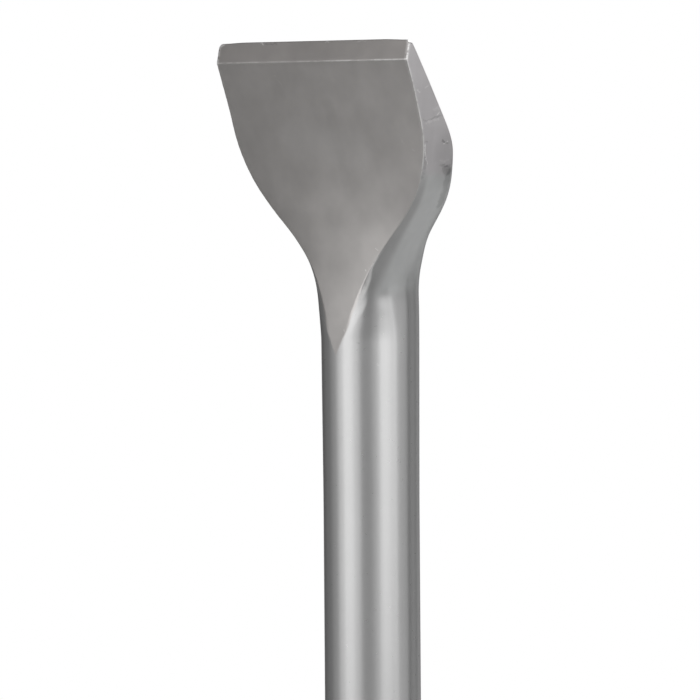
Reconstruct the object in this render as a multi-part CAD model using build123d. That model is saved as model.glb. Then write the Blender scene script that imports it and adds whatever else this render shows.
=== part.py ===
from build123d import *
import math
import os

# One-piece cranked wide chisel for a breaking hammer, forged from a round bar.
# Millimetres. Z runs up the bar from the striking face to the cutting edge.
# The ground front of the head looks towards -Y, and the head leans that way.
# "forward" below is the distance in front of the bar's axis, so forward = -Y.
# A "drop" is a height measured down from the cutting edge.

# Bar
total_length = 300.0
bar_diameter = 18.0
neck_diameter = 18.4
swell_length = 31.0
head_length = 55.0

# Five-groove quick-change shank
end_chamfer = 1.8
slot_width = 4.0
slot_depth = 2.4
slot_length = 74.0
slot_runout_radius = 20.0
slot_spread = 145.0
lock_radius = 3.8
lock_depth = 2.3
lock_length = 37.0
lock_centre = 53.5

# Forged head: its width seen from the front
flare_drop = 41.5
flare_slope = 0.915
flare_blend = 6.4
shoulder_drop = 29.1
shoulder_slope = 0.45
shoulder_blend = 4.0
cheek_drop = 17.8
cheek_blend = 2.5

# Forged head: its thickness and the lean of its back
back_angle = 31.0
back_bend_radius = 40.0
edge_back_forward = 13.66
neck_thickness = 19.4
blade_thickness = 7.0
upset_drop = 52.0
upset_length = 9.0
thinning_drop = 39.0
thinning_length = 27.0

# Forged head: round section becoming squared, as a superellipse exponent
squared_exponent = 13.0
squaring_drop = 46.0
squaring_length = 28.5

# Ground front face: straight run-out on the bar, small blend, long hollow, bevel
runout_drop = 57.0
runout_angle = 6.1
face_blend_drop = 37.4
face_blend_radius = 20.0
face_lean = 10.6
face_hollow_radius = 159.0
bevel_length = 3.8
bevel_lean = 11.5

# Trimmed side walls of the blade and the corners of the cutting edge
blade_width = 50.2
wall_straight_length = 8.0
wall_taper_length = 7.5
wall_taper_width = 49.7
wall_knee_radius = 20.0
wall_run_angle = 18.5
corner_radius = 1.0

# Lofting detail
points_around = 64
section_step = 3.0

swell_end = total_length - head_length
swell_start = swell_end - swell_length
bar_radius = bar_diameter / 2
neck_radius = neck_diameter / 2
lean_slope = math.tan(math.radians(back_angle))


def ease(z, drop, length):
    """Zero up to a drop below the edge, one a length above it, a smooth cubic between."""
    part = min(max((z - total_length + drop) / length, 0.0), 1.0)
    return part * part * (3 - 2 * part)


def ramp(value, blend):
    """Zero, then a line of slope one, with a parabola of half length blend between."""
    if value <= -blend:
        return 0.0
    if value >= blend:
        return value
    return (value + blend) ** 2 / (4 * blend)


def bar_radius_at(z):
    """The bar swells a little on its way up to the head."""
    part = min(max((z - swell_start) / swell_length, 0.0), 1.0)
    return bar_radius + (neck_radius - bar_radius) * part


# The back is a straight lean from the cutting edge, turning to the bar on one arc.
tilt = math.radians(back_angle)
tangent_forward = -neck_radius + back_bend_radius * (1 - math.cos(tilt))
tangent_height = total_length - (edge_back_forward - tangent_forward) / lean_slope
bend_start = tangent_height - back_bend_radius * math.sin(tilt)


def back_forward(z):
    """Forward distance of the back of the head."""
    if z >= tangent_height:
        return edge_back_forward - lean_slope * (total_length - z)
    if z <= bend_start:
        return -bar_radius_at(z)
    rise = z - bend_start
    return -neck_radius + back_bend_radius - math.sqrt(back_bend_radius ** 2 - rise ** 2)


def half_width(z):
    """Half width of the forging, before its walls are trimmed."""
    below = total_length - z
    wide = flare_slope * ramp(flare_drop - below, flare_blend)
    wide -= (flare_slope - shoulder_slope) * ramp(shoulder_drop - below, shoulder_blend)
    wide -= shoulder_slope * ramp(cheek_drop - below, cheek_blend)
    return bar_radius_at(z) + wide


def thickness(z):
    """Depth of the forging, before its front is ground."""
    full = 2 * bar_radius_at(z)
    full += (neck_thickness - neck_diameter) * ease(z, upset_drop, upset_length)
    full += (blade_thickness - neck_thickness) * ease(z, thinning_drop, thinning_length)
    return full


def exponent(z):
    """Two is a round section, and a large exponent is a squared one."""
    part = ease(z, squaring_drop, squaring_length)
    return 2 / (1 + (2 / squared_exponent - 1) * part)


def section(z):
    """One closed outline of the forging at height z."""
    across = half_width(z)
    deep = thickness(z) / 2
    middle = back_forward(z) + deep
    power = exponent(z)
    points = []
    for index in range(points_around):
        turn = 2 * math.pi * index / points_around
        angle = turn + 0.2 * math.sin(4 * turn)
        side = math.cos(angle)
        front = math.sin(angle)
        size = (abs(side) ** power + abs(front) ** power) ** (-1 / power)
        points.append(Vector(across * size * side, -middle - deep * size * front, z))
    steps = [index / points_around for index in range(points_around + 1)]
    outline = Edge.make_spline(points, periodic=True, parameters=steps)
    return Face(Wire([outline]))


# Bar and swelling neck, drawn as a half outline and turned about Z
half_bar = Polyline(
    (0, 0),
    (bar_radius - end_chamfer, 0),
    (bar_radius, end_chamfer),
    (bar_radius, swell_start),
    (neck_radius, swell_end),
    (0, swell_end),
    close=True,
)
bar = revolve(Plane.XZ * make_face(half_bar), Axis.Z)

# Forged head
head_top = total_length + 2.0
count = max(8, round((head_top - swell_end) / section_step))
heights = [swell_end + (head_top - swell_end) * index / count for index in range(count + 1)]
base = Face(Wire([Edge.make_circle(neck_radius, Plane((0, 0, swell_end)))]))
head = loft([base] + [section(z) for z in heights[1:]])
forging = bar + head

# Ground front and cutting bevel: the region of the side view that is kept
reach = 1.2 * blade_width
runout_exit = total_length - runout_drop
face_blend_start = total_length - face_blend_drop
bevel_start = total_length - bevel_length
runout = math.radians(runout_angle)
lean = math.radians(face_lean)
low_height = runout_exit - 12.0
low_forward = neck_radius + 12.0 * math.tan(runout)
blend_forward = neck_radius - (face_blend_start - runout_exit) * math.tan(runout)
blend = JernArc(
    (-blend_forward, face_blend_start),
    (math.sin(runout), math.cos(runout)),
    face_blend_radius,
    math.degrees(runout + lean),
)
hollow_start = blend.position_at(1)
hollow_rise = (bevel_start - hollow_start.Y) / face_hollow_radius
top_lean = math.asin(math.sin(lean) + hollow_rise)
hollow = JernArc(
    (hollow_start.X, hollow_start.Y),
    (-math.sin(lean), math.cos(lean)),
    face_hollow_radius,
    math.degrees(top_lean - lean),
)
bevel_base = hollow.position_at(1)
bevel_run = (head_top - bevel_start) * math.tan(math.radians(bevel_lean))
side_outline = Curve() + [
    Line((-low_forward, low_height), (-blend_forward, face_blend_start)),
    blend,
    hollow,
    Polyline(
        (bevel_base.X, bevel_base.Y),
        (bevel_base.X + bevel_run, head_top),
        (reach, head_top),
        (reach, -5.0),
        (-reach, -5.0),
        (-reach, low_height),
        (-low_forward, low_height),
    ),
]
side_keep = extrude(Plane.YZ * make_face(side_outline), reach, both=True)

# Trimmed walls, rounded corners and flat end of the edge: the region kept from the front
half_blade = blade_width / 2
half_knee = wall_taper_width / 2
wall_straight_end = total_length - wall_straight_length
wall_knee = wall_straight_end - wall_taper_length
wall_slope = math.atan2(half_blade - half_knee, wall_taper_length)
run_slope = math.radians(wall_run_angle)
corner = JernArc((half_blade, total_length - corner_radius), (0, 1), corner_radius, 90)
knee = JernArc(
    (half_knee, wall_knee),
    (-math.sin(wall_slope), -math.cos(wall_slope)),
    wall_knee_radius,
    -math.degrees(run_slope - wall_slope),
)
knee_end = knee.position_at(1)
foot = (
    knee_end.X - wall_knee_radius * math.sin(run_slope),
    knee_end.Y - wall_knee_radius * math.cos(run_slope),
)
front_outline = Curve() + [
    Polyline((0, total_length), (half_blade - corner_radius, total_length)),
    corner,
    Polyline(
        (half_blade, total_length - corner_radius),
        (half_blade, wall_straight_end),
        (half_knee, wall_knee),
    ),
    knee,
    Polyline(
        (knee_end.X, knee_end.Y),
        foot,
        (reach, foot[1]),
        (reach, -5.0),
        (0, -5.0),
        (0, total_length),
    ),
]
front_half = extrude(Plane.XZ * make_face(front_outline), reach, both=True)
front_keep = front_half + mirror(front_half, Plane.YZ)
chisel = (forging & side_keep) & front_keep

# Open drive slots: the floor of each rises to the surface on the cutter's radius
floor_offset = bar_radius - slot_depth
runout_turn = math.acos(1 - (slot_depth + 1.0) / slot_runout_radius)
slot_end = JernArc(
    (floor_offset, slot_length),
    (0, 1),
    slot_runout_radius,
    -math.degrees(runout_turn),
)
slot_outline = Curve() + [
    slot_end,
    Polyline(
        (slot_end.position_at(1).X, slot_end.position_at(1).Y),
        (slot_end.position_at(1).X, -1.0),
        (floor_offset, -1.0),
        (floor_offset, slot_length),
    ),
]
slot = extrude(Plane.YZ * make_face(slot_outline), slot_width / 2, both=True)
for angle in (0.0, slot_spread, -slot_spread):
    chisel -= Rot(0, 0, angle) * slot

# Closed locking grooves, opposite each other
lock_offset = bar_radius - lock_depth + lock_radius
half_straight = lock_length / 2 - lock_radius
lock = Pos(lock_offset, 0, lock_centre) * Cylinder(lock_radius, 2 * half_straight)
for end in (-half_straight, half_straight):
    lock += Pos(lock_offset, 0, lock_centre + end) * Sphere(lock_radius)
for angle in (0.0, 180.0):
    chisel -= Rot(0, 0, angle) * lock

os.makedirs("parts", exist_ok=True)
export_step(chisel, "parts/chisel.step")
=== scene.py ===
"""Looks of a one-piece cranked wide chisel: forged from bar, ground on its front, satin all over.

Lengths are worked out in millimetres and put into the meshes in metres. "Forward" is the distance
in front of the bar's axis, towards -Y. A "drop" is a height measured down from the cutting edge.
Heights are a column of numbers, one for each row of the mesh, and an outline runs along its row.
"""
import math

import bpy
import numpy as np
from mathutils import Matrix, Vector


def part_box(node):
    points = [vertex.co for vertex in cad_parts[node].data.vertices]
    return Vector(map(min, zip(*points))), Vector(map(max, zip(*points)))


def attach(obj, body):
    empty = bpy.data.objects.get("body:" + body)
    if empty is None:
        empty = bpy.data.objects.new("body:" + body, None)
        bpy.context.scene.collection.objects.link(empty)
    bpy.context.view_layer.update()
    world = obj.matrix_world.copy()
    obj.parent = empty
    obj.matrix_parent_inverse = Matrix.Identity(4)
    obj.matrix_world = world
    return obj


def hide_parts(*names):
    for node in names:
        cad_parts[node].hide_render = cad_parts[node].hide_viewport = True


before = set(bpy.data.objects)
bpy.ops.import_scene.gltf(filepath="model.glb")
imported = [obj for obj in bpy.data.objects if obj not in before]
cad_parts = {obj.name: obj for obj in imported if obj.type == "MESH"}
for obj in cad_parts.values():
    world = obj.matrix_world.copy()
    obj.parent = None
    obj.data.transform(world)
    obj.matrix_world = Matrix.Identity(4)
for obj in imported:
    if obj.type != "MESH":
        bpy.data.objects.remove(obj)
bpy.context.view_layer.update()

MM = 0.001

# A span is the drop where something starts to change and the length of bar that the change takes.
# A band is two spans: it comes in over the first and goes out over the second.

# Bar
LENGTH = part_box("chisel")[1][2] / MM
BAR_RADIUS = 9.0
NECK_RADIUS = 9.2
NECK_DROP = 55.0
SWELL_LENGTH = 31.0

# Shank. Angles are degrees round from the front, on the right half, which the left half mirrors.
# A slot's half width is at its mouth, and its walls lean in by the slot wall.
END_CHAMFER = 1.8
SLOT_ANGLES = (35.0, 180.0)
SLOT_HALF = 2.1
SLOT_WALL = 0.28
SLOT_DEPTH = 2.4
SLOT_LENGTH = 74.0
SLOT_RUNOUT_RADIUS = 20.0
LOCK_ANGLE = 90.0
LOCK_CENTRE = 53.5
LOCK_LENGTH = 37.0
LOCK_RADIUS = 3.8
LOCK_DEPTH = 2.3
LOCK_ROUND = 0.03

# Forged head: its width, as the drop where each slope starts, the slope, and its blend
HALF_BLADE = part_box("chisel")[1][0] / MM
FLARES = ((41.5, 0.915, 6.4), (29.1, 0.45, 4.0), (17.8, 0.0, 2.5))

# Forged head: its thickness and the lean of its back
BACK_ANGLE = math.radians(31.0)
BACK_BEND_RADIUS = 40.0
EDGE_BACK_FORWARD = 13.66
UPSET = 1.0
UPSET_SPAN = (52.0, 9.0)
THINNING = 12.4
THINNING_SPAN = (39.0, 27.0)

# Forged head: exponents of its sections, and how the neck is fuller than they make it
ROUND = 2.0
SQUARED = 13.0
SQUARING_SPAN = (46.0, 28.5)
NECK_SWELL = 0.35
NECK_SWELL_BAND = ((49.0, 11.0), (34.0, 9.0))
NECK_FULLNESS = 0.65
NECK_FULLNESS_SPAN = (56.0, 10.0)
FRONT_SQUARING = 0.42
BACK_EASING = 0.33
BACK_EASING_SPAN = (42.0, 7.0)
TRIM_DROP = 22.0

# Ground face: straight run-out on the bar, small blend, long hollow, bevel
RUNOUT_DROP = 57.0
RUNOUT_ANGLE = math.radians(6.1)
RUNOUT_BLEND = 1.6
RUNOUT_HOLLOW = 0.08
RUNOUT_HOLLOW_BAND = ((56.0, 4.0), (48.0, 8.0))
FACE_BLEND_DROP = 37.4
FACE_BLEND_RADIUS = 20.0
FACE_LEAN = math.radians(10.6)
FACE_HOLLOW_RADIUS = 159.0
FACE_SMOOTHING = 10.0
FACE_SMOOTHING_BAND = ((54.0, 12.0), (22.0, 20.0))
CROWN = 0.04
CROWN_RISES = ((57.0, 10.0), (50.0, 12.0))
CROWN_FALLS = ((34.0, 14.0), (14.0, 10.0))
BEVEL_LENGTH = 3.8
BEVEL_LEAN = math.radians(11.5)
BEVEL_ROUND = 0.035

# Trimmed side walls, the corners of the cutting edge, and the rim of its flat end
WALL_STRAIGHT = 8.0
WALL_TAPER = 7.5
WALL_TAPER_DEPTH = 0.25
WALL_KNEE_RADIUS = 20.0
WALL_RUN_ANGLE = math.radians(18.5)
WALL_CLEARANCE = 40.0
WALL_CLEARANCE_SPAN = (32.0, 6.0)
WALL_ROUND = 0.04
CORNER_RADIUS = 1.0
RIM_ROUND = 0.12

# Wear: the ridge round the ground face is worn all along, polished away where it runs out and
# rounded on its outer side at the neck, and the cutting edge is worn at its ends
RIDGE_WEAR = 0.17
RIDGE_WEAR_SWING = 0.05
RIDGE_WEAR_LEAST = 0.07
RIDGE_POLISH = ((1.6, (57.0, 5.0)), (0.35, (50.0, 8.0)))
RIDGE_ROUND = 1.5
RIDGE_ROUND_BAND = ((58.0, 4.0), (45.0, 4.0))
EDGE_END_WEAR = 0.16
EDGE_END_LENGTH = 7.0
EDGE_END_SPAN = (3.0, 3.0)

# Where the hand-ground halves differ in width
UPPER_BAND = ((31.0, 6.0), (23.0, 10.0))
LOWER_BAND = ((53.0, 6.0), (37.0, 7.0))
LOWER_RIGHT_SPAN = (49.0, 5.0)

# Finishes: how wide their borders fade, how wide they are past the ridge, and where they lie. An
# edge width or a low width is what a finish gains at the cutting edge or low down.
GROUND_FADE = 0.25
CUT_FADE = 0.25
TRIM_INSIDE = 0.22
TRIM_FADE = 0.16
TRIM_SPAN = (28.0, 2.0)
# The worn layer is bright wear on the ridge, also a painted highlight
WORN_WIDTH = 0.11
WORN_SPAN = (27.0, 5.0)
WORN_EDGE_WIDTH = 0.15
WORN_EDGE_SPAN = (4.5, 1.0)
# A painted highlight on a strip just past the ridge at the neck
RUBBED_HIGHLIGHT_WIDTH = 0.05
RUBBED_HIGHLIGHT_LOW_WIDTH = 0.65
RUBBED_HIGHLIGHT_LOW_SPAN = (46.5, 5.0)
RUBBED_HIGHLIGHT_BAND = ((49.0, 3.0), (42.0, 4.0))
# Painted shade: a dark strip on the neck's flank beside the ridge, laid as the scale layer
SHADED_STRIP_WIDTH = 1.9
SHADED_STRIP_LOW_WIDTH = 1.6
SHADED_STRIP_LOW_SPAN = (42.0, 10.0)
SHADED_STRIP_BAND = ((49.5, 4.0), (29.0, 7.0))

# Mesh: the columns of half an outline, the column on the ridge, and how many round it on each
# side, the length that a radian of turn counts as, the least distance from the front centre to
# the ridge's column, the length past it over which the ridge sharpens, and where columns even out
HALF_COLUMNS = 128
RIDGE_COLUMN = 42
ROUND_COLUMNS = 3
TURN_LENGTH = 2.2
LEAST_FACE = 1.9
SHARPENING = 2.5
EVEN_SPAN = (92.0, 34.0)
HEAD_DROP = 95.0
# Layers of finish on the mesh: scale is painted shade, worn is bright wear that is also a painted
# highlight, and rubbed_highlight is a painted highlight
LAYERS = ("ground", "trimmed", "worn", "rubbed_highlight", "scale", "cut")


# ---------------------------------------------------------------- forms of the forging

def ease(value, start, length):
    """Zero before start, one after start + length, and 3 t squared less 2 t cubed between."""
    part = np.clip((value - start) / length, 0.0, 1.0)
    return part * part * (3.0 - 2.0 * part)


def risen(height, span):
    """Zero below the span, one above it, with an ease between."""
    drop, length = span
    return ease(height, LENGTH - drop, length)


def fallen(height, span):
    """One below the span, zero above it, with an ease between."""
    return 1.0 - risen(height, span)


def within(height, band):
    """One inside the band and zero outside: the product of its rise and its fall."""
    return risen(height, band[0]) * fallen(height, band[1])


def ramp(value, blend):
    """Zero, then a line of slope one, joined by a parabola of half length blend."""
    bend = (value + blend) ** 2 / (4.0 * blend)
    return np.where(value <= -blend, 0.0, np.where(value >= blend, value, bend))


def arc(radius, past):
    """How far a circle has left its tangent: r less the root of r squared less past squared."""
    past = np.clip(past, 0.0, radius)
    return radius - np.sqrt(radius * radius - past * past)


def soft_min(first, second, width):
    """The smaller of two values, rounded where they cross: -w log(exp(-a/w) + exp(-b/w))."""
    low = np.minimum(first, second)
    return low - width * np.log1p(np.exp(-np.abs(first - second) / width))


def bar_radius(height):
    """The bar's radius grows in a straight line over the swell below the head."""
    start = LENGTH - NECK_DROP - SWELL_LENGTH
    part = np.clip((height - start) / SWELL_LENGTH, 0.0, 1.0)
    return BAR_RADIUS + (NECK_RADIUS - BAR_RADIUS) * part


def back_forward(height):
    """The back is a straight lean down from the edge, turning to the bar's back on an arc."""
    tangent_forward = -NECK_RADIUS + BACK_BEND_RADIUS * (1.0 - math.cos(BACK_ANGLE))
    tangent_height = LENGTH - (EDGE_BACK_FORWARD - tangent_forward) / math.tan(BACK_ANGLE)
    bend_start = tangent_height - BACK_BEND_RADIUS * math.sin(BACK_ANGLE)
    lean = EDGE_BACK_FORWARD - math.tan(BACK_ANGLE) * (LENGTH - height)
    bend = arc(BACK_BEND_RADIUS, height - bend_start) - NECK_RADIUS
    return np.select([height >= tangent_height, height > bend_start], [lean, bend], -bar_radius(height))


def half_width(height):
    """Half width of the untrimmed forging: the bar's radius, then slopes joined by ramps."""
    wide = bar_radius(height)
    slope_before = 0.0
    for drop, slope, blend in FLARES:
        wide = wide + (slope - slope_before) * ramp(height - LENGTH + drop, blend)
        slope_before = slope
    return wide


def thickness(height):
    """Depth of the untrimmed forging: upset at the neck, then thinned towards the blade."""
    upset = UPSET * risen(height, UPSET_SPAN)
    return 2.0 * bar_radius(height) + upset - THINNING * risen(height, THINNING_SPAN)


def exponent(height):
    """Superellipse exponent of the section: its inverse eases from a round's to a squared one's."""
    return ROUND / (1.0 + (ROUND / SQUARED - 1.0) * risen(height, SQUARING_SPAN))


def face_body(height):
    """Ground front below the bevel, from the bar up.

    A straight run-out leaves the bar on a short parabola and is a little hollow low down. A small
    arc turns from the run-out to the face's lean, and a long hollow arc leads on to the bevel.
    """
    run_sine, run_cosine = math.sin(RUNOUT_ANGLE), math.cos(RUNOUT_ANGLE)
    lean_sine, lean_cosine = math.sin(FACE_LEAN), math.cos(FACE_LEAN)
    fall = math.tan(RUNOUT_ANGLE) * ramp(height - LENGTH + RUNOUT_DROP, RUNOUT_BLEND)
    runout = bar_radius(height) - fall - RUNOUT_HOLLOW * within(height, RUNOUT_HOLLOW_BAND)

    blend_height = LENGTH - FACE_BLEND_DROP
    blend_forward = NECK_RADIUS - (RUNOUT_DROP - FACE_BLEND_DROP) * math.tan(RUNOUT_ANGLE)
    sine = np.clip((height - blend_height) / FACE_BLEND_RADIUS - run_sine, -1.0, lean_sine)
    blend = blend_forward + FACE_BLEND_RADIUS * (run_cosine - np.sqrt(1.0 - sine * sine))

    hollow_height = blend_height + FACE_BLEND_RADIUS * (lean_sine + run_sine)
    hollow_forward = blend_forward + FACE_BLEND_RADIUS * (run_cosine - lean_cosine)
    sine = np.clip((height - hollow_height) / FACE_HOLLOW_RADIUS + lean_sine, 0.0, 0.9)
    hollow = hollow_forward + FACE_HOLLOW_RADIUS * (lean_cosine - np.sqrt(1.0 - sine * sine))
    return np.select([height < blend_height, height < hollow_height], [runout, blend], hollow)


def face_forward(height):
    """Ground front: the body, averaged over a reach each way as a belt leaves it, then the bevel."""
    reach = FACE_SMOOTHING * within(height, FACE_SMOOTHING_BAND)
    steps = np.linspace(-1.0, 1.0, 17)
    weights = 1.0 - np.abs(steps)
    body = sum(weight * face_body(height + reach * step) for weight, step in zip(weights, steps))
    bevel_start = LENGTH - BEVEL_LENGTH
    bevel = face_body(np.array([bevel_start])) - (height - bevel_start) * math.tan(BEVEL_LEAN)
    return soft_min(body / weights.sum(), bevel, BEVEL_ROUND)


def wall_half(height):
    """Trimmed side wall: straight, slight taper, a knee's arc, a run inwards, and the top corner.

    Well below the knee the run swings clear, so that only the forging's own flank counts.
    """
    below = LENGTH - height
    slope = math.atan2(WALL_TAPER_DEPTH, WALL_TAPER)
    taper = HALF_BLADE - (below - WALL_STRAIGHT) * math.tan(slope)

    knee_drop = WALL_STRAIGHT + WALL_TAPER
    knee_half = HALF_BLADE - WALL_TAPER_DEPTH
    sine = (below - knee_drop) / WALL_KNEE_RADIUS + math.sin(slope)
    sine = np.clip(sine, 0.0, math.sin(WALL_RUN_ANGLE))
    knee = knee_half - WALL_KNEE_RADIUS * (math.cos(slope) - np.sqrt(1.0 - sine * sine))

    run_drop = knee_drop + WALL_KNEE_RADIUS * (math.sin(WALL_RUN_ANGLE) - math.sin(slope))
    run_half = knee_half - WALL_KNEE_RADIUS * (math.cos(slope) - math.cos(WALL_RUN_ANGLE))
    run = run_half - (below - run_drop) * math.tan(WALL_RUN_ANGLE)
    run = run + WALL_CLEARANCE * fallen(height, WALL_CLEARANCE_SPAN)
    lower = np.select([below < knee_drop, below < run_drop], [taper, knee], run)
    half = np.where(below < WALL_STRAIGHT, HALF_BLADE, lower)
    return half - arc(CORNER_RADIUS, CORNER_RADIUS - below)


# ---------------------------------------------------------------- outlines of the head

class HeadRows:
    """What the head's outlines are made from, one number a row for each size and place.

    The level tells where the ground face cuts the section: 0 at its middle and 1 at its front.
    """

    def __init__(self, height, wear, widening):
        inset = arc(RIM_ROUND, height - LENGTH + RIM_ROUND)
        self.height, self.wear = height, wear
        self.rounding = RIDGE_ROUND * within(height, RIDGE_ROUND_BAND)
        self.swell = NECK_SWELL * within(height, NECK_SWELL_BAND)
        self.plan = half_width(height)
        self.across = self.plan + self.swell
        self.stretch = 1.0 + widening / self.across
        self.deep = thickness(height) / 2.0
        self.middle = back_forward(height) + self.deep
        self.back = back_forward(height) + inset
        self.face = np.minimum(face_forward(height) - inset, self.middle + self.deep)
        self.level = np.clip((self.face - self.middle) / self.deep, -1.0, 1.0)
        self.wall = wall_half(height) - inset


def ground_face(rows, ridge_x, crown_power):
    """The face from its centre to the ridge, proud in the middle by 1 less share to a power.

    The crown grows with the width, comes up in two steps and goes down again in two.
    """
    share = np.linspace(0.0, 1.0, 60)[None, :-1]
    first, second = (risen(rows.height, span) for span in CROWN_RISES)
    third, fourth = (fallen(rows.height, span) for span in CROWN_FALLS)
    proud = CROWN * ridge_x * first * (0.5 + 0.5 * second) * (0.5 * third + 0.5 * fourth)
    return ridge_x * share, rows.face + proud * (1.0 - share ** crown_power)


def flank(rows):
    """The forging from the ridge round to the back centre, in many fine steps.

    The ridge is where the ground face cuts the forging's superellipse. From there a rounder
    quarter runs out to the widest point, and a squarer one on to the back. Where the blade is
    trimmed, both have the forging's own exponent, and the wall cuts them softly.
    """
    height, level = rows.height, rows.level
    power = exponent(height)
    ridge_x = rows.plan * np.clip(1.0 - np.abs(level) ** power, 0.0, 1.0) ** (1.0 / power)
    back_power = power * (1.0 - BACK_EASING * rows.swell * risen(height, BACK_EASING_SPAN))
    fullness = NECK_FULLNESS * risen(height, NECK_FULLNESS_SPAN)
    front_power = ROUND + np.maximum(fullness, FRONT_SQUARING * (power - ROUND))
    trimmed = height > LENGTH - TRIM_DROP
    front_power = np.where(trimmed, power, front_power)
    share = ridge_x / rows.across
    rise = np.where(trimmed, level, (1.0 - share ** front_power) ** (1.0 / front_power))
    front_deep = (rows.face - rows.middle) / np.where(trimmed, 1.0, rise)
    front_deep = np.where(trimmed, rows.deep, front_deep)

    start = np.arctan2(rise, np.maximum(share, 1e-9))
    turn = start + (-math.pi / 2 - start) * np.linspace(0.0, 1.0, 700)
    side, front = np.cos(turn), np.sin(turn)
    shape = np.where(turn > 0.0, front_power, back_power)
    size = (np.abs(side) ** shape + np.abs(front) ** shape) ** (-1.0 / shape)
    x = np.maximum(soft_min(rows.across * size * side, rows.wall, WALL_ROUND), 0.0)
    forward = rows.middle + np.where(turn > 0.0, front_deep, rows.deep) * size * front
    return x, np.maximum(forward, rows.back)


def along(position, places, values):
    """Reads values at places along many rows at once, by adding a big step for each row."""
    row_step = 1.0e4 * np.arange(len(position), dtype=float)[:, None]
    read = np.interp((places + row_step).ravel(), (position + row_step).ravel(), values.ravel())
    return read.reshape(places.shape)


def round_ridge(values, amount):
    """Draws the columns by the ridge onto a parabola, by an amount from 0 to 1 for each row."""
    left, right = RIDGE_COLUMN - ROUND_COLUMNS, RIDGE_COLUMN + ROUND_COLUMNS
    part = np.arange(1, 2 * ROUND_COLUMNS) / (2.0 * ROUND_COLUMNS)
    start, tip, end = (values[:, [column]] for column in (left, RIDGE_COLUMN, right))
    bent = (1.0 - part) ** 2 * start + 2.0 * part * (1.0 - part) * tip + part ** 2 * end
    values[:, left + 1 : right] += (bent - values[:, left + 1 : right]) * amount


def lay_columns(rows, x, forward, ridge_index):
    """Picks the mesh's columns on a fine outline, with one on the ridge.

    Up to the ridge they lie at even steps of length, and past it at even steps of length with
    the turn added. By the ridge they span its wear on both sides, with its rounding added on the
    outer one, and are drawn onto a round. Down the bar, where the ridge has run out, they go over
    to even steps. Returns x, forward and the distance past the ridge.
    """
    blank = np.zeros((len(x), 1))
    step_x, step_forward = np.diff(x), np.diff(forward)
    length = np.hstack([blank, np.cumsum(np.hypot(step_x, step_forward) + 1e-7, axis=1)])
    heading = np.unwrap(np.arctan2(step_forward, step_x + 1e-9), axis=1)
    bend = np.hstack([blank, np.abs(np.diff(heading)), blank])
    bend[:, : ridge_index + 1] = 0.0
    metric = length + TURN_LENGTH * np.cumsum(bend, axis=1)
    ridge = length[:, [ridge_index]]

    even = length[:, -1:] / HALF_COLUMNS
    least = LEAST_FACE + (even * RIDGE_COLUMN - LEAST_FACE) * fallen(rows.height, EVEN_SPAN)
    anchor = np.maximum(ridge, least)
    sharp = ease(ridge, least, SHARPENING)
    inner = ROUND_COLUMNS * even * (1.0 - sharp) + rows.wear * sharp
    outer = inner + rows.rounding * sharp
    before = np.linspace(0.0, 1.0, RIDGE_COLUMN - ROUND_COLUMNS + 1) * (anchor - inner)
    offset = np.arange(1 - ROUND_COLUMNS, ROUND_COLUMNS) / ROUND_COLUMNS
    near = anchor + np.where(offset < 0.0, inner, outer) * offset
    start = along(length, anchor + outer, metric)
    steps = np.linspace(0.0, 1.0, HALF_COLUMNS - RIDGE_COLUMN - ROUND_COLUMNS + 1)
    after = along(metric, start + (metric[:, -1:] - start) * steps, length)
    places = np.hstack([before, near, after])
    x, forward = along(length, places, x), along(length, places, forward)
    for values in (x, forward):
        round_ridge(values, sharp)
    return x, forward, places - ridge


def head_finishes(rows, x, past, ridge_x):
    """How far each finish covers the columns, from 0 to 1, by the distance past the ridge.

    Ground metal ends at the ridge, and trimmed metal starts just inside the wall. The worn layer
    is a bell curve on the ridge of the blade, bright wear that is also a painted highlight, and the
    rubbed_highlight one a painted highlight on a strip just past it at the neck. The scale layer is
    painted shade: a dark strip that covers the neck's flank from the ridge out.
    """
    height = rows.height
    in_front = np.arange(HALF_COLUMNS + 1) < RIDGE_COLUMN + ROUND_COLUMNS
    in_front = in_front & (height > LENGTH - RUNOUT_DROP - RUNOUT_BLEND)
    ground = np.clip((ridge_x - x) / GROUND_FADE + 0.5, 0.0, 1.0) * in_front
    trimmed = np.clip((x - rows.wall * rows.stretch + TRIM_INSIDE) / TRIM_FADE, 0.0, 1.0)
    trimmed = trimmed * risen(height, TRIM_SPAN) * (1.0 - ground)

    # Bright wear on the ridge, also a painted highlight
    width = WORN_WIDTH + WORN_EDGE_WIDTH * risen(height, WORN_EDGE_SPAN)
    worn = np.exp(-(past / width) ** 2) * risen(height, WORN_SPAN)
    # A painted highlight on a strip just past the ridge at the neck
    width = RUBBED_HIGHLIGHT_WIDTH + RUBBED_HIGHLIGHT_LOW_WIDTH * fallen(height, RUBBED_HIGHLIGHT_LOW_SPAN)
    rubbed_highlight = ease(past, -0.10, 0.15) * (1.0 - ease(past, width, 0.4))
    rubbed_highlight = rubbed_highlight * within(height, RUBBED_HIGHLIGHT_BAND)
    # Painted shade: a dark strip on the neck's flank from the ridge out
    width = SHADED_STRIP_WIDTH + SHADED_STRIP_LOW_WIDTH * fallen(height, SHADED_STRIP_LOW_SPAN)
    scale = ease(past - 0.7 * rows.rounding, -0.05, 0.2) * (1.0 - ease(past, 0.55 * width, 0.6 * width))
    scale = scale * within(height, SHADED_STRIP_BAND)
    return ground, trimmed, worn, rubbed_highlight, scale


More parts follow.
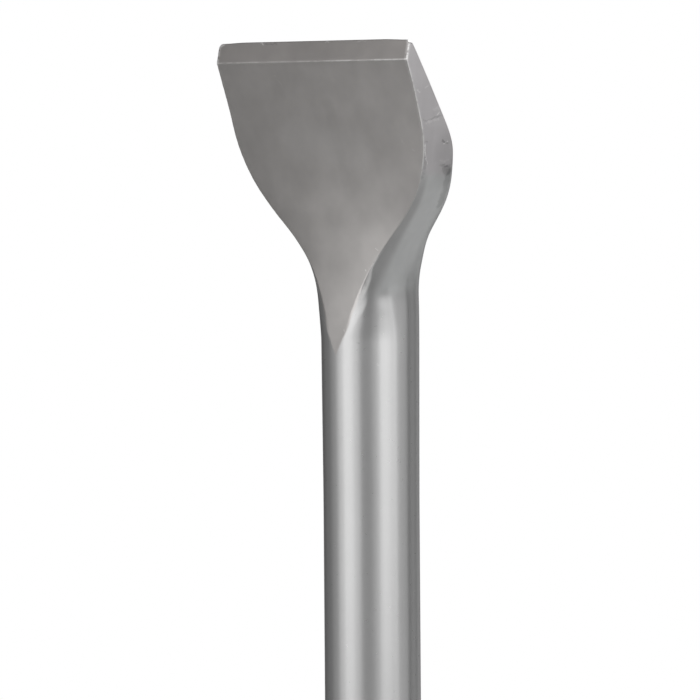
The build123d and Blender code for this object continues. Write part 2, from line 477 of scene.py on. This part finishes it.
def head_half(height, wear, crown_power, widening):
    """Half outlines of the head, from the front centre round to the back centre.

    Returns x, forward and the layers of finish.
    """
    rows = HeadRows(height, wear, widening)
    flank_x, flank_forward = flank(rows)
    ridge_x = flank_x[:, :1]
    face_x, face_at = ground_face(rows, ridge_x, crown_power)
    outline = np.hstack([face_x, flank_x]), np.hstack([face_at, flank_forward])
    x, forward, past = lay_columns(rows, *outline, face_x.shape[1])
    x = x * rows.stretch
    x[:, [0, -1]] = 0.0
    finishes = head_finishes(rows, x, past, ridge_x * rows.stretch)
    return np.stack([x, forward, *finishes, np.zeros_like(x)])


# ---------------------------------------------------------------- outlines of the shank

def graded(start, stops):
    """Values from the start through each stop, which comes with its number of even steps."""
    parts = []
    for stop, count in stops:
        parts.append(np.linspace(start, stop, count + 1)[:-1])
        start = stop
    return np.concatenate(parts + [np.array([start])])


def shank_angles():
    """Polar angles of the half outline's columns, set close at the grooves' edges."""
    front, back = SLOT_ANGLES
    edge = math.degrees(math.asin(SLOT_HALF / BAR_RADIUS))
    lip = edge + 1.4
    beside_lock = 22.0
    return np.radians(graded(0.0, (
        (front - lip, 13), (front - edge, 2), (front + edge, 18), (front + lip, 2),
        (LOCK_ANGLE - beside_lock, 13), (LOCK_ANGLE + beside_lock, 36),
        (back - lip, 28), (back - edge, 2), (back, 14))))


def cut_slots(x, forward, height):
    """Moves the points in a slot down to its flat floor, which rises on the cutter's arc."""
    floor = BAR_RADIUS - SLOT_DEPTH + arc(SLOT_RUNOUT_RADIUS, height - SLOT_LENGTH)
    for angle in SLOT_ANGLES:
        sine, cosine = math.sin(math.radians(angle)), math.cos(math.radians(angle))
        out = x * sine + forward * cosine
        over = x * cosine - forward * sine
        inside = np.clip((SLOT_HALF - np.abs(over)) / SLOT_WALL, 0.0, 1.0)
        out = out + (np.minimum(out, floor) - out) * inside
        x = out * sine + over * cosine
        forward = out * cosine - over * sine
    return x, forward


def cut_lock(x, forward, height):
    """Draws the points in the locking groove in to a round-ended cylinder that dips into the bar."""
    offset = BAR_RADIUS - LOCK_DEPTH + LOCK_RADIUS
    past_straight = np.abs(height - LOCK_CENTRE) - (LOCK_LENGTH / 2.0 - LOCK_RADIUS)
    reach = LOCK_RADIUS - arc(LOCK_RADIUS, past_straight)
    angle = np.abs(np.arctan2(x, forward) - math.radians(LOCK_ANGLE))
    beside = offset * np.sin(angle)
    dip = offset * np.cos(angle) - np.sqrt(np.clip(reach ** 2 - beside ** 2, 0.0, None))
    radius = np.hypot(x, forward)
    drawn = np.where(beside < reach, soft_min(radius, dip, LOCK_ROUND), radius) / radius
    return x * drawn, forward * drawn


def shank_half(height):
    """Half outlines of the bar: a circle with its slots and groove, as head_half returns them.

    The columns go over to even angles up the bar, from 95 mm over a length of 100. Cut metal is
    where the radius has gone in, and on the chamfer.
    """
    laid = shank_angles()
    even = np.linspace(0.0, math.pi, HALF_COLUMNS + 1)
    angle = laid + (even - laid) * ease(height, 95.0, 100.0)
    radius = bar_radius(height) - np.clip(END_CHAMFER - height, 0.0, END_CHAMFER)
    x, forward = cut_slots(radius * np.sin(angle), radius * np.cos(angle), height)
    x, forward = cut_lock(x, forward, height)
    x[:, [0, -1]] = 0.0
    cut = np.clip((radius - np.hypot(x, forward)) / CUT_FADE, 0.0, 1.0)
    cut = np.where(height < END_CHAMFER + 0.1, 1.0, cut)
    blank = [np.zeros_like(x)] * LAYERS.index("cut")
    return np.stack([x, forward, *blank, cut])


# ---------------------------------------------------------------- the chisel's skin

def ripple(height, size, seed):
    """Smooth unevenness between about -1 and 1: nine sine waves that cross the bar at a slant.

    Each has a seeded direction, and its rate along the bar is its own rate times the upward part.
    """
    waves = 9
    rng = np.random.default_rng(seed)
    total = np.zeros_like(height)
    for _ in range(waves):
        way = rng.normal(size=3)
        upward = way[2] / np.linalg.norm(way)
        rate = 2.0 * math.pi / (size * rng.uniform(0.6, 1.6))
        total += np.sin(height * upward * rate + rng.uniform(0.0, 6.3))
    return total / (0.5 * waves)


def worn_edge(height, seed):
    """How far the ridge is worn: a small uneven round, polished much wider where it runs out."""
    uneven = ripple(height, 5.0, seed) + ripple(height, 1.1, seed + 1)
    wear = np.maximum(RIDGE_WEAR + RIDGE_WEAR_SWING * uneven, RIDGE_WEAR_LEAST)
    return wear + sum(amount * fallen(height, span) for amount, span in RIDGE_POLISH)


def hand_ground(height):
    """What tells the right half from the left: seed of its wear, power of its crown, widening."""
    upper, lower = within(height, UPPER_BAND), within(height, LOWER_BAND)
    right = (11, 1.8, 0.10 * risen(height, LOWER_RIGHT_SPAN) * lower)
    left = (23, 2.6, 0.28 * upper - 0.16 * lower)
    return right, left


def heights():
    """Heights of the rows: close at edges, bends and groove ends, wide on the plain bar.

    Each stop, a height on the shank and a drop on the head, comes with its number of rows.
    """
    outer = LOCK_LENGTH / 2.0 + 0.4
    inner = LOCK_LENGTH / 2.0 - LOCK_RADIUS - 0.6
    shank = [
        (END_CHAMFER, 3), (LOCK_CENTRE - outer, 10), (LOCK_CENTRE - inner, 14),
        (LOCK_CENTRE + inner, 9), (LOCK_CENTRE + outer, 14), (SLOT_LENGTH + 10.5, 26)]
    drops = (
        (92.0, 22), (60.0, 14), (38.0, 66), (16.0, 64), (BEVEL_LENGTH + 1.0, 26),
        (BEVEL_LENGTH - 0.8, 12), (CORNER_RADIUS, 6), (RIM_ROUND, 6), (0.0, 4))
    return graded(0.0, shank + [(LENGTH - drop, count) for drop, count in drops])[:, None]


def skin_rings():
    """Rings of points from the foot up, one a row, right half then left, and their layers.

    The ends of the cutting edge are worn a little lower than its middle.
    """
    height = heights()
    head = height[:, 0] > LENGTH - HEAD_DROP
    halves = []
    for seed, crown_power, widening in hand_ground(height):
        wear = worn_edge(height[head], seed)
        upper = head_half(height[head], wear, crown_power, widening[head])
        halves.append(np.concatenate([shank_half(height[~head]), upper], axis=1))
    right, left = halves
    left[0] = -left[0]
    x, forward, *layers = np.concatenate([right, left[:, :, -2:0:-1]], axis=2)
    at_end = ease(np.abs(x), HALF_BLADE - EDGE_END_LENGTH, EDGE_END_LENGTH - 1.0)
    z = height - EDGE_END_WEAR * at_end * risen(height, EDGE_END_SPAN)
    return np.stack([x, -forward, z], axis=2), layers


def skin_faces(count, around, inner):
    """Quads between rings, a fan of triangles at the foot's pole, and a cap across the top ring.

    The rows' rings come first, then the foot's inner rings, the smallest first, then the pole.
    """
    here = np.arange(around)
    after = (here + 1) % around
    first = np.arange(count + inner) * around
    low = np.concatenate([first[: count - 1], first[count:]])[:, None]
    high = np.concatenate([first[1:count], first[count + 1 :], first[:1]])[:, None]
    quads = np.stack([low + here, low + after, high + after, high + here], axis=2).reshape(-1, 4)
    pole = np.full(around, (count + inner) * around)
    fan = np.stack([first[count] + here, first[count] + after, pole], axis=1)
    top, halfway = first[count - 1], around // 2
    k = np.arange(1, halfway - 1)
    cap = top + np.stack([k, k + 1, around - k - 1, around - k], axis=1)
    tips = top + np.array([[0, 1, around - 1], [halfway - 1, halfway, halfway + 1]])
    return quads.tolist() + fan.tolist() + cap.tolist() + tips.tolist()


def forged_chisel():
    """The whole chisel as one closed skin of rings, with a pole at the foot and a flat top cap."""
    rings, layers = skin_rings()
    foot = [rings[0] * [share, share, 1.0] for share in (0.25, 0.5, 0.75)]
    vertices = np.vstack([rings.reshape(-1, 3), *foot, np.zeros((1, 3))])
    mesh = bpy.data.meshes.new("forged_chisel")
    mesh.from_pydata((vertices * MM).tolist(), [], skin_faces(*rings.shape[:2], len(foot)))
    mesh.update()
    for name, values in zip(LAYERS, layers):
        layer = mesh.attributes.new(name, "FLOAT", "POINT")
        on_foot = np.full(len(vertices) - values.size, float(name == "cut"))
        layer.data.foreach_set("value", np.concatenate([values.ravel(), on_foot]).astype(np.float32))
    piece = bpy.data.objects.new("forged_chisel", mesh)
    bpy.context.scene.collection.objects.link(piece)
    mesh.shade_smooth()
    return piece, mesh


# ---------------------------------------------------------------- nodes

class Socket:
    """A node's output. Arithmetic on it adds the Math nodes that work it out."""

    def __init__(self, tree, output):
        self.tree, self.output = tree, output

    def math(self, operation, *values):
        return self.tree.node("Math", {"operation": operation}, dict(enumerate(values)))

    def __add__(self, other):
        return self.math("ADD", self, other)

    def __sub__(self, other):
        return self.math("SUBTRACT", self, other)

    def __rsub__(self, other):
        return self.math("SUBTRACT", other, self)

    def __mul__(self, other):
        return self.math("MULTIPLY", self, other)

    __radd__ = __add__
    __rmul__ = __mul__


class Tree:
    """The nodes of one material or of the world."""

    def __init__(self, owner):
        owner.use_nodes = True
        self.nodes, self.links = owner.node_tree.nodes, owner.node_tree.links
        self.nodes.clear()

    def node(self, kind, settings=None, inputs=None, output=0):
        """Adds a node, sets its settings first, then its sockets' values or links."""
        made = self.nodes.new("ShaderNode" + kind)
        for name, value in (settings or {}).items():
            setattr(made, name, value)
        for name, value in (inputs or {}).items():
            if isinstance(value, Socket):
                self.links.new(value.output, made.inputs[name])
            else:
                made.inputs[name].default_value = value
        return Socket(self, made.outputs[output]) if made.outputs else None

    def vector(self, operation, inputs, output="Vector"):
        return self.node("VectorMath", {"operation": operation}, inputs, output)

    def between(self, value, low, high, to_low=0.0, to_high=1.0):
        """Smooth step of a value from one pair of numbers to another."""
        return self.node("MapRange", {"interpolation_type": "SMOOTHSTEP"}, {
            "Value": value, "From Min": low, "From Max": high, "To Min": to_low, "To Max": to_high})

    def blend(self, mask, under, over):
        return self.node("Mix", {"data_type": "RGBA"}, {0: mask, 6: under, 7: over}, 2)


class SteelTree(Tree):
    """The steel's nodes: patterns on the piece's own coordinates, in metres, and its layers."""

    def __init__(self, material):
        super().__init__(material)
        self.place = self.node("TexCoord", output="Object")
        self.side, self.depth, self.height = (
            self.node("SeparateXYZ", {}, {0: self.place}, axis) for axis in "XYZ")

    def layer(self, name):
        return self.node("Attribute", {"attribute_name": name}, output="Fac")

    def above(self, span):
        """Nothing below a span and one above it."""
        drop, length = span
        return self.between(self.height, (LENGTH - drop) * MM, (LENGTH - drop + length) * MM)

    def noise(self, scale, detail=2.0, stretch=(1.0, 1.0, 1.0), roughness=0.55):
        """Noise with its grain drawn out where a stretch is under one."""
        moved = self.node("Mapping", {}, {"Vector": self.place, "Scale": stretch})
        return self.node("TexNoise", {}, {
            "Vector": moved, "Scale": scale, "Detail": detail, "Roughness": roughness})


# ---------------------------------------------------------------- marks on the steel

# Scratches, stains and small marks, and a painted shade under the trimmed wall: the face they lie
# on, start and end as (across, drop), width, and shade from dark at -1 to bright at 1. Across is
# x, and forward on the wall.
MARKS = (
    ("wall", (10.7, 15.0), (8.6, 14.9), 0.15, -0.30),
    ("wall", (8.6, 14.8), (6.0, 14.1), 0.15, -0.40),
    ("wall", (10.0, 15.5), (6.8, 14.8), 0.20, 0.22),
    ("wall", (12.4, 9.4), (11.6, 9.7), 0.12, 0.6),
    ("wall", (7.0, 14.0), (6.5, 13.4), 0.14, 0.6),
    ("wall", (7.8, 13.0), (6.2, 12.5), 0.30, 0.22),
    ("wall", (5.3, 18.7), (3.9, 19.2), 0.20, -0.6),
    ("wall", (4.8, 19.5), (4.0, 18.8), 0.11, 0.7),
    ("wall", (10.3, 9.1), (9.3, 8.5), 0.13, 0.35),
    ("wall", (10.0, 19.1), (9.2, 19.1), 0.15, -0.5),
    ("wall", (9.7, 19.7), (9.2, 21.0), 0.12, 0.9),
    ("wall", (9.2, 21.0), (8.1, 23.0), 0.12, 0.6),
    # Painted shade: these four rows darken the flank just under the trimmed wall, at the back
    ("wall", (4.4, 23.3), (1.8, 23.4), 0.25, -0.35),
    ("wall", (3.0, 23.8), (1.9, 24.5), 0.70, -0.45),
    ("wall", (1.7, 24.6), (0.6, 30.5), 0.75, -0.34),
    ("wall", (4.6, 20.0), (3.0, 25.0), 2.00, -0.11),
    ("wall", (4.8, 22.6), (2.6, 22.5), 0.16, 0.15),
    ("wall", (8.9, 22.0), (8.2, 25.5), 0.40, -0.35),
    ("ground", (19.6, 29.6), (20.3, 30.0), 0.12, 0.5),
    ("ground", (9.1, 38.7), (9.5, 38.9), 0.11, 0.4),
    ("ground", (10.6, 39.4), (11.2, 39.8), 0.11, 0.4),
    ("ground", (6.4, 42.5), (6.6, 42.7), 0.14, 0.5),
    ("ground", (1.7, 53.9), (1.9, 54.1), 0.14, 0.4),
    ("ground", (-24.4, 0.6), (-23.7, 0.3), 0.13, 0.6),
    ("ground", (-13.9, 0.2), (-13.3, 0.4), 0.12, 0.6),
    ("ground", (-12.6, 0.35), (-9.6, 0.35), 0.12, -0.40),
    ("ground", (3.5, 0.3), (4.1, 0.3), 0.12, 0.4),
    ("ground", (11.8, 0.3), (13.8, 0.3), 0.12, 0.3),
    ("ground", (-10.4, 6.4), (-9.1, 8.0), 0.14, 0.12),
    ("ground", (19.0, 18.4), (19.6, 19.0), 0.16, 0.16),
    ("ground", (21.3, 20.4), (21.9, 20.7), 0.14, 0.20),
    ("ground", (2.2, 12.0), (2.9, 26.0), 1.30, -0.08),
    ("ground", (-8.0, 9.0), (5.0, 9.5), 3.00, -0.10),
    ("ground", (-4.0, 1.5), (11.0, 1.5), 2.50, -0.15),
    ("ground", (-9.0, 18.0), (7.0, 20.0), 3.50, 0.10),
    ("bar", (4.5, 56.0), (4.7, 56.1), 0.14, -0.4),
    ("bar", (7.0, 53.2), (7.1, 53.3), 0.14, -0.4),
    ("bar", (7.3, 60.4), (7.5, 60.6), 0.14, 0.3),
)
FINE_MARK = 0.5


def mark(tree, shaken, face, start, end, width):
    """One within half a width of the line from start to end, fading to none at a width and a half.

    The line's nearest point is its start plus its way times the distance along it, and that
    distance is held between nothing and the line's span.
    """
    keep = np.array([0.0, 1.0, 1.0] if face == "wall" else [1.0, 0.0, 1.0])
    first, last = (
        np.array([across, -across, LENGTH - drop]) * keep * MM for across, drop in (start, end))
    span = float(np.linalg.norm(last - first))
    way = ((last - first) / span).tolist()
    flat = tree.vector("MULTIPLY", {0: shaken, 1: keep.tolist()})
    away = tree.vector("SUBTRACT", {0: flat, 1: first.tolist()})
    distance = tree.vector("DOT_PRODUCT", {0: away, 1: way}, "Value")
    held = tree.node("Clamp", {}, {"Value": distance, "Min": 0.0, "Max": span})
    nearest = tree.vector("SCALE", {0: way, "Scale": held})
    gap = tree.vector("DISTANCE", {0: away, 1: nearest}, "Value")
    return tree.between(gap, 0.5 * width * MM, 1.5 * width * MM, 1.0, 0.0)


def marks(tree, ground):
    """The bright marks and the dark ones, with the painted shade under the wall among the dark, each
    added up. Lines are shaky, and fine ones broken.
    """
    wobble = tree.node("TexNoise", {}, {"Vector": tree.place, "Scale": 1100.0, "Detail": 2.0}, "Color")
    wobble = tree.vector("SUBTRACT", {0: wobble, 1: (0.5, 0.5, 0.5)})
    shaken = tree.vector("MULTIPLY_ADD", {0: wobble, 1: (0.0012, 0.0012, 0.0012), 2: tree.place})
    broken = tree.between(tree.noise(2200.0), 0.35, 0.6, 0.35, 1.0)
    faces = {
        "wall": tree.between(tree.side, 0.0165, 0.018) * (1 - ground),
        "ground": ground,
        "bar": tree.between(tree.depth, -0.001, 0.0, 1.0, 0.0),
    }
    bright, dark = [], []
    for face, start, end, width, strength in MARKS:
        spot = mark(tree, shaken, face, start, end, width) * faces[face] * abs(strength)
        if width < FINE_MARK:
            spot = spot * broken
        (bright if strength > 0.0 else dark).append(spot)
    return sum(bright[1:], bright[0]), sum(dark[1:], dark[0])


# ---------------------------------------------------------------- steel

# Colours of the finishes on the bar, each laid over those before it, then how much patchier and
# grittier each finish is, and how much duller
BAR_COLOUR = (0.56, 0.56, 0.56, 1.0)
COLOURS = {
    "head": (0.565, 0.572, 0.570, 1.0),
    "cut": (0.60, 0.60, 0.61, 1.0),
    # Painted shade: the scale colour darkens a strip of the neck's flank beside the ridge
    "scale": (0.43, 0.43, 0.43, 1.0),
    "ground": (0.575, 0.556, 0.543, 1.0),
    "bevel": (0.425, 0.405, 0.395, 1.0),
    "trimmed": (0.575, 0.558, 0.566, 1.0),
}
# Bright worn steel, also used to paint the highlights on the edges and by the neck's ridge
BRIGHT_WEAR_AND_HIGHLIGHT = (0.92, 0.91, 0.90, 1.0)
BAR_PATCHES = 0.12
PATCHES = {"head": 0.6, "ground": 1.0, "trimmed": 0.8}
GRIT = {"head": 0.7, "ground": 0.5, "trimmed": 0.6}
BAR_ROUGHNESS = 0.28
DULLER = {"head": 0.03, "cut": 0.12, "ground": 0.05, "bevel": 0.14, "trimmed": 0.07}


def finish_masks(tree):
    """Where each finish lies: the mesh's layers, the bevel at the top, and the bare forging."""
    masks = {name: tree.layer(name) for name in ("ground", "trimmed", "scale", "cut")}
    masks["bevel"] = masks["ground"] * tree.above((BEVEL_LENGTH + 0.1, 0.2))
    masks["head"] = tree.above((48.5, 3.0)) * (1 - masks["ground"]) * (1 - masks["trimmed"])
    return masks


def summed(masks, amounts, total):
    """The total plus each finish's amount, wherever that finish lies."""
    for finish, amount in amounts.items():
        total = masks[finish] * amount + total
    return total


def steel_shade(tree, masks, fine, streaks):
    """How much lighter or darker the steel is than its colour, as a share of it.

    Patches and fine grain lie all over, and drawn streaks off the ground face. Painted light
    makes the ground face lighter to the right at the blade, and painted shade makes it darker in a
    band over the neck.
    """
    ground = masks["ground"]
    patches = (tree.noise(150.0) - 0.5) * 0.28 * summed(masks, PATCHES, BAR_PATCHES)
    shade = patches + (fine - 0.5) * 0.04 + (streaks - 0.5) * 0.06 * (1 - ground)
    # Painted light: the ground face lighter to the right at the blade. Painted shade: a darker band
    # over the neck
    across = tree.between(tree.side, -0.025, 0.025, -0.09, 0.06) * tree.above((34.0, 12.0))
    neck = tree.above((46.0, 6.0)) * (1 - tree.above((36.0, 6.0)))
    return shade + (across - neck * 0.12) * ground


def edge_wear_and_highlights(tree, ground):
    """Bright wear with painted highlights: the worn ridge, and the line where the bevel meets the
    face, painted stronger towards the right.
    """
    line = tree.above((BEVEL_LENGTH + 0.2, 0.15)) * (1 - tree.above((BEVEL_LENGTH - 0.05, 0.15)))
    line = line * ground * tree.between(tree.noise(450.0), 0.38, 0.55, 0.3)
    line = line * tree.between(tree.side, 0.0, 0.014, 0.25, 0.75)
    return tree.layer("worn") * tree.between(tree.noise(1100.0), 0.36, 0.50) + line


def steel_relief(tree, masks, streaks):
    """Height of the grain: turned rings in the cuts, brushing on the bevel, grit, and streaks."""
    turned = tree.noise(1600.0, 2.0, (0.1, 0.1, 1.0), 0.5) * masks["cut"] * 2.0
    brushed = tree.noise(1500.0, 2.0, (0.03, 0.03, 1.0)) * masks["bevel"] * 1.5
    grit = tree.noise(2600.0, 3.0) * summed(masks, GRIT, 0.0)
    return turned + brushed + grit + streaks * 0.5


def forged_steel(name):
    """Satin steel: drawn bar, blasted forging, ground front, trimmed walls and bright worn edges,
    with painted highlights on the edges and by the neck's ridge, and painted light and shade on
    the head.
    """
    material = bpy.data.materials.new(name)
    tree = SteelTree(material)
    masks = finish_masks(tree)
    fine = tree.noise(900.0, 3.0)
    streaks = tree.noise(900.0, 2.0, (1.0, 1.0, 0.012))
    edges = edge_wear_and_highlights(tree, masks["ground"])
    bright_marks, dark_marks_and_shade = marks(tree, masks["ground"])

    colour = BAR_COLOUR
    for finish, tint in COLOURS.items():
        colour = tree.blend(masks[finish], colour, tint)
    # The shade holds painted light and shade on the ground face, and the painted shade under the wall
    shade = steel_shade(tree, masks, fine, streaks) - dark_marks_and_shade * 0.6
    colour = tree.vector("SCALE", {0: colour, "Scale": 1 + shade})
    # Bright wear with painted highlights on the edges and by the neck's ridge, then the bright marks
    for mask in (edges, tree.layer("rubbed_highlight"), bright_marks):
        colour = tree.blend(mask, colour, BRIGHT_WEAR_AND_HIGHLIGHT)
    rough = summed(masks, DULLER, BAR_ROUGHNESS) + (fine - 0.5) * 0.03 - edges * 0.10
    relief = steel_relief(tree, masks, streaks)
    bump = tree.node("Bump", {}, {"Height": relief, "Strength": 0.06, "Distance": 0.0001})
    shader = tree.node("BsdfPrincipled", {}, {
        "Base Color": colour, "Metallic": 1.0, "Roughness": rough, "Normal": bump})
    tree.node("OutputMaterial", {}, {"Surface": shader})
    return material


# ---------------------------------------------------------------- studio

# The main view: how far round to the right it stands, how far above level, its roll, its distance
# in metres, and the point it looks at, as a drop and a distance to the left of the bar's axis
VIEW_AZIMUTH = 45.0
VIEW_ELEVATION = math.radians(1.1)
VIEW_ROLL = math.radians(-0.43)
VIEW_DISTANCE = 1.6
VIEW_DROP = 57.73
VIEW_LEFT = 3.815
LENS = 439.4

# Soft boxes and cards that face the bar: degrees to the right of the main view, distance, height
# of the middle, width and height in metres, and power in watts
LAMPS = (
    ("left_outer_box", -64.0, 0.75, 0.49, 0.60, 0.82, 0.88),
    ("left_inner_box", -47.5, 0.75, 0.49, 0.60, 0.82, 1.12),
    ("right_inner_box", 27.0, 0.75, 0.50, 0.60, 0.80, 0.60),
    ("right_outer_box", 42.0, 0.75, 0.50, 0.60, 0.80, 1.42),
    ("left_card", -90.0, 0.55, 0.26, 0.36, 0.38, 0.076),
    ("right_low_card", 77.0, 0.55, 0.15, 0.38, 0.26, 0.135),
    ("right_high_card", 77.0, 0.55, 0.42, 0.38, 0.28, 0.28),
    ("back_right_card", 117.0, 0.70, 0.30, 0.30, 0.50, 0.12),
    ("back_card", 146.0, 0.70, 0.30, 0.30, 0.50, 0.13),
    ("front_low_card", 0.0, 0.60, 0.06, 0.50, 0.10, 0.03),
    ("front_card", -4.0, 0.70, 0.46, 0.30, 0.34, 0.075),
)
WHITE = (1.0, 1.0, 1.0, 1.0)
FLOOR_RADIUS = 1.6
FLOOR_COLOUR = (0.86, 0.86, 0.86, 1.0)
DIM_LIGHT = 0.091


def around(azimuth, distance, height):
    """A place at an angle from the main view's direction, positive to its right, in metres."""
    turn = math.radians(VIEW_AZIMUTH + azimuth)
    return Vector((distance * math.sin(turn), -distance * math.cos(turn), height))


def area_light(name, place, target, width, height, power):
    """A rectangular soft box that faces its target."""
    light = bpy.data.lights.new(name, "AREA")
    light.shape = "RECTANGLE"
    light.size, light.size_y = width, height
    light.energy = power
    box = bpy.data.objects.new(name, light)
    bpy.context.scene.collection.objects.link(box)
    box.location = place
    box.rotation_euler = (target - place).to_track_quat("-Z", "Y").to_euler()


def studio_lamps():
    """Boxes and cards that face the bar, one box over the floor behind, and one over the back."""
    for name, azimuth, distance, middle, width, tall, power in LAMPS:
        place, target = around(azimuth, distance, middle), around(0.0, 0.0, middle)
        area_light(name, place, target, width, tall, power)
    area_light("back_floor_box", around(140.0, 0.75, 0.50), around(140.0, 0.75, 0.0), 0.50, 0.50, 0.58)
    area_light("top_soft_box", around(135.0, 0.27, 0.52), around(135.0, 0.20, 0.0), 0.28, 0.28, 0.765)


def floor_mesh():
    """A flat disc: a centre point and rings of points round it, joined by triangles and quads."""
    around_it = 128
    angle = np.linspace(0.0, 2.0 * math.pi, around_it + 1)[:-1]
    radius = np.linspace(0.0, FLOOR_RADIUS, 9)[1:, None]
    flat = np.zeros((len(radius), around_it))
    rings = np.stack([radius * np.cos(angle), radius * np.sin(angle), flat], axis=2)
    points = np.vstack([np.zeros((1, 3)), rings.reshape(-1, 3)])
    here = 1 + np.arange(around_it)
    after = 1 + here % around_it
    fan = np.stack([np.zeros_like(here), here, after], axis=1)
    low = np.arange(len(rings) - 1)[:, None] * around_it
    high = low + around_it
    quads = np.stack([low + here, high + here, high + after, low + after], axis=2).reshape(-1, 4)
    mesh = bpy.data.meshes.new("studio_floor")
    mesh.from_pydata(points.tolist(), [], fan.tolist() + quads.tolist())
    return mesh


def studio_floor():
    """A pale round floor: lit near the chisel, and to the camera plain white further out."""
    mesh = floor_mesh()
    floor = bpy.data.objects.new("studio_floor", mesh)
    bpy.context.scene.collection.objects.link(floor)
    material = bpy.data.materials.new("pale_floor")
    tree = Tree(material)
    lit = tree.node("BsdfDiffuse", {}, {"Color": FLOOR_COLOUR})
    white = tree.node("Emission", {}, {"Color": WHITE, "Strength": 1.0})
    from_centre = tree.vector("LENGTH", {0: tree.node("TexCoord", output="Object")}, "Value")
    far = tree.between(from_centre, 0.1, 0.8, 0.35)
    seen = tree.node("LightPath", output="Is Camera Ray")
    mixed = tree.node("MixShader", {}, {0: far * seen, 1: lit, 2: white})
    tree.node("OutputMaterial", {}, {"Surface": mixed})
    mesh.materials.append(material)


def studio_world():
    """White to the camera. Steel mirrors a soft white glow behind it, and the rest is dim."""
    world = bpy.data.worlds.new("studio")
    bpy.context.scene.world = world
    tree = Tree(world)
    way = tree.node("TexCoord", output="Generated")

    def glow(azimuth, height, rim, core, strength):
        """Strength in a direction, easing to nothing where the cosine from it falls to the rim."""
        facing = tree.vector("DOT_PRODUCT", {0: way, 1: around(azimuth, 1.0, height)}, "Value")
        return tree.between(facing, rim, core, 0.0, strength)

    mirrored = tree.node("LightPath", output="Is Glossy Ray")
    mirrored = mirrored + tree.node("LightPath", output="Is Transmission Ray")
    behind = glow(180.0, 0.0, 0.94, 0.99, 0.40)
    front = glow(-8.0, 0.1, 0.70, 0.98, 0.30)
    left = glow(-100.0, 0.0, 0.50, 0.98, 0.142)
    dim = behind * mirrored + front + left + DIM_LIGHT
    seen = tree.node("LightPath", output="Is Camera Ray")
    strength = tree.node("Mix", {"data_type": "FLOAT"}, {0: seen, 2: dim, 3: 1.0})
    light = tree.node("Background", {}, {"Color": WHITE, "Strength": strength})
    tree.node("OutputWorld", {}, {"Surface": light})


def main_camera():
    """Looks nearly level at the head from in front and to the right, a little off the bar's axis."""
    data = bpy.data.cameras.new("main_camera")
    data.sensor_width = 36.0
    data.lens = LENS
    data.clip_start, data.clip_end = 0.05, 20.0
    camera = bpy.data.objects.new("main_camera", data)
    bpy.context.scene.collection.objects.link(camera)
    bpy.context.scene.camera = camera
    target = around(-90.0, VIEW_LEFT * MM, (LENGTH - VIEW_DROP) * MM)
    back = around(0.0, math.cos(VIEW_ELEVATION), math.sin(VIEW_ELEVATION))
    turn = (-back).to_track_quat("-Z", "Y").to_matrix().to_4x4()
    place = Matrix.Translation(target + back * VIEW_DISTANCE)
    camera.matrix_world = place @ turn @ Matrix.Rotation(VIEW_ROLL, 4, "Z")


piece, mesh = forged_chisel()
mesh.materials.append(forged_steel("satin_forged_steel"))
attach(piece, "root")
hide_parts("chisel")

main_camera()
studio_floor()
studio_world()
studio_lamps()
bpy.context.scene.view_settings.view_transform = "Standard"
